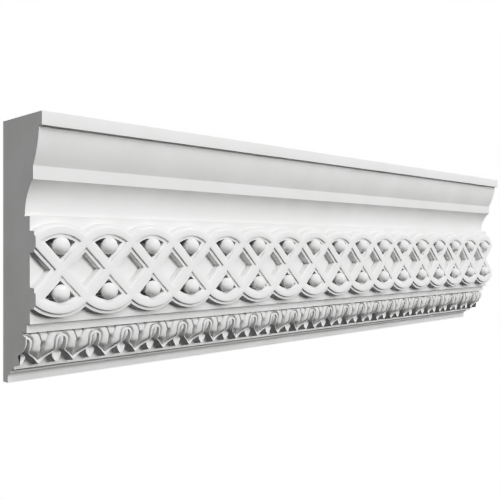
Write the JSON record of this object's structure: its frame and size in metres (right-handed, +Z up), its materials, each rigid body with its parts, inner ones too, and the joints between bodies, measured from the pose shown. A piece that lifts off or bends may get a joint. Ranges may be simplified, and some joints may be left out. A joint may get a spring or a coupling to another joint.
{
  "type": "ornamental plaster cornice",
  "caption": "Straight length of plaster cornice with an interlaced knotwork frieze set with pearls, a lower band of leaves and buds, a coved and fillet top and square-cut ends.",
  "frame": {"origin": "centre of the flat back face that lies against the wall", "axes": "+X along the length, to the right for someone facing the ornament; +Y into the wall, so the ornament faces -Y; +Z up"},
  "size_m": [1, 0.0854, 0.2814],
  "materials": {
    "plaster": "matt white cast gypsum plaster, unpainted"
  },
  "bodies": {
    "root": {"cornice": "plaster"}
  },
  "joints": []
}
